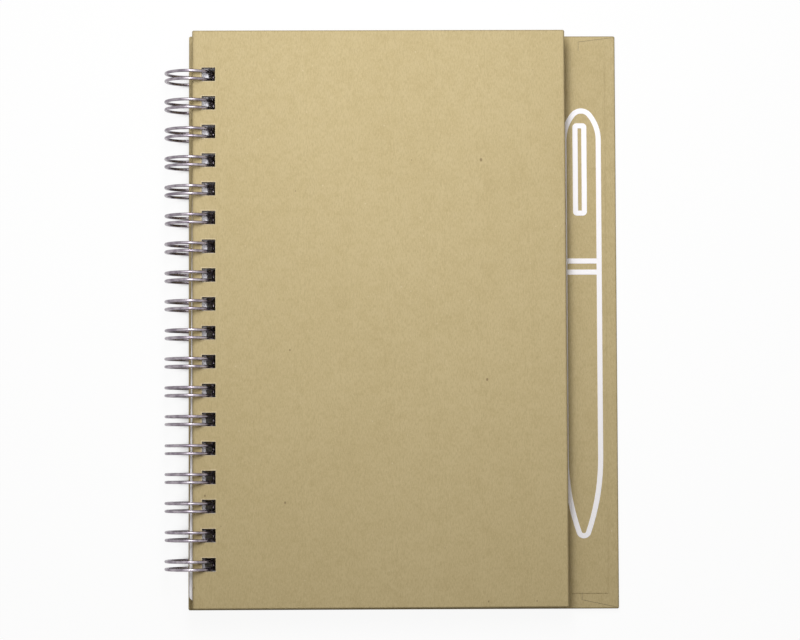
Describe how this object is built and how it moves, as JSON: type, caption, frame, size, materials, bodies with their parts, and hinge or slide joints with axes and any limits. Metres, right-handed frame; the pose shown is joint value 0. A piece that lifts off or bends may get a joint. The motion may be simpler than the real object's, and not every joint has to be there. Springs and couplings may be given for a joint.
{
  "type": "twin loop notebook",
  "caption": "Slim wire bound notebook with two kraft wrapped board covers, the back one wider, loose white sheets and a pen outline on the inner back cover.",
  "frame": {"origin": "middle of the bounding box's underside, on the surface the notebook lies on", "axes": "+X from the spine to the fore-edge, +Y up the page, +Z out of the front cover"},
  "size_m": [0.134, 0.171, 0.0148],
  "materials": {
    "kraft_paper": "matte",
    "grey_board": "matte",
    "white_ink": "matte",
    "white_paper": "matte",
    "wire": "satin"
  },
  "bodies": {
    "bound_pages": {"page_block": "white_paper", "binding_wire": "wire"},
    "front_cover": {"front_board": "grey_board", "front_wrap": "kraft_paper", "front_lining": "kraft_paper"},
    "back_cover": {"back_board": "grey_board", "back_wrap": "kraft_paper", "back_lining": "kraft_paper", "pen_print": "white_ink"}
  },
  "joints": [
    {"name": "front_cover_hinge", "type": "hinge", "parent": "bound_pages", "child": "front_cover", "pos_m": [-0.05965, 0.00047, 0.0074], "axis": [0, -1, 0], "range_deg": [0, 182]},
    {"name": "back_cover_hinge", "type": "hinge", "parent": "bound_pages", "child": "back_cover", "pos_m": [-0.05965, 0.00047, 0.0074], "axis": [0, -1, 0], "range_deg": [-182, 0]}
  ]
}
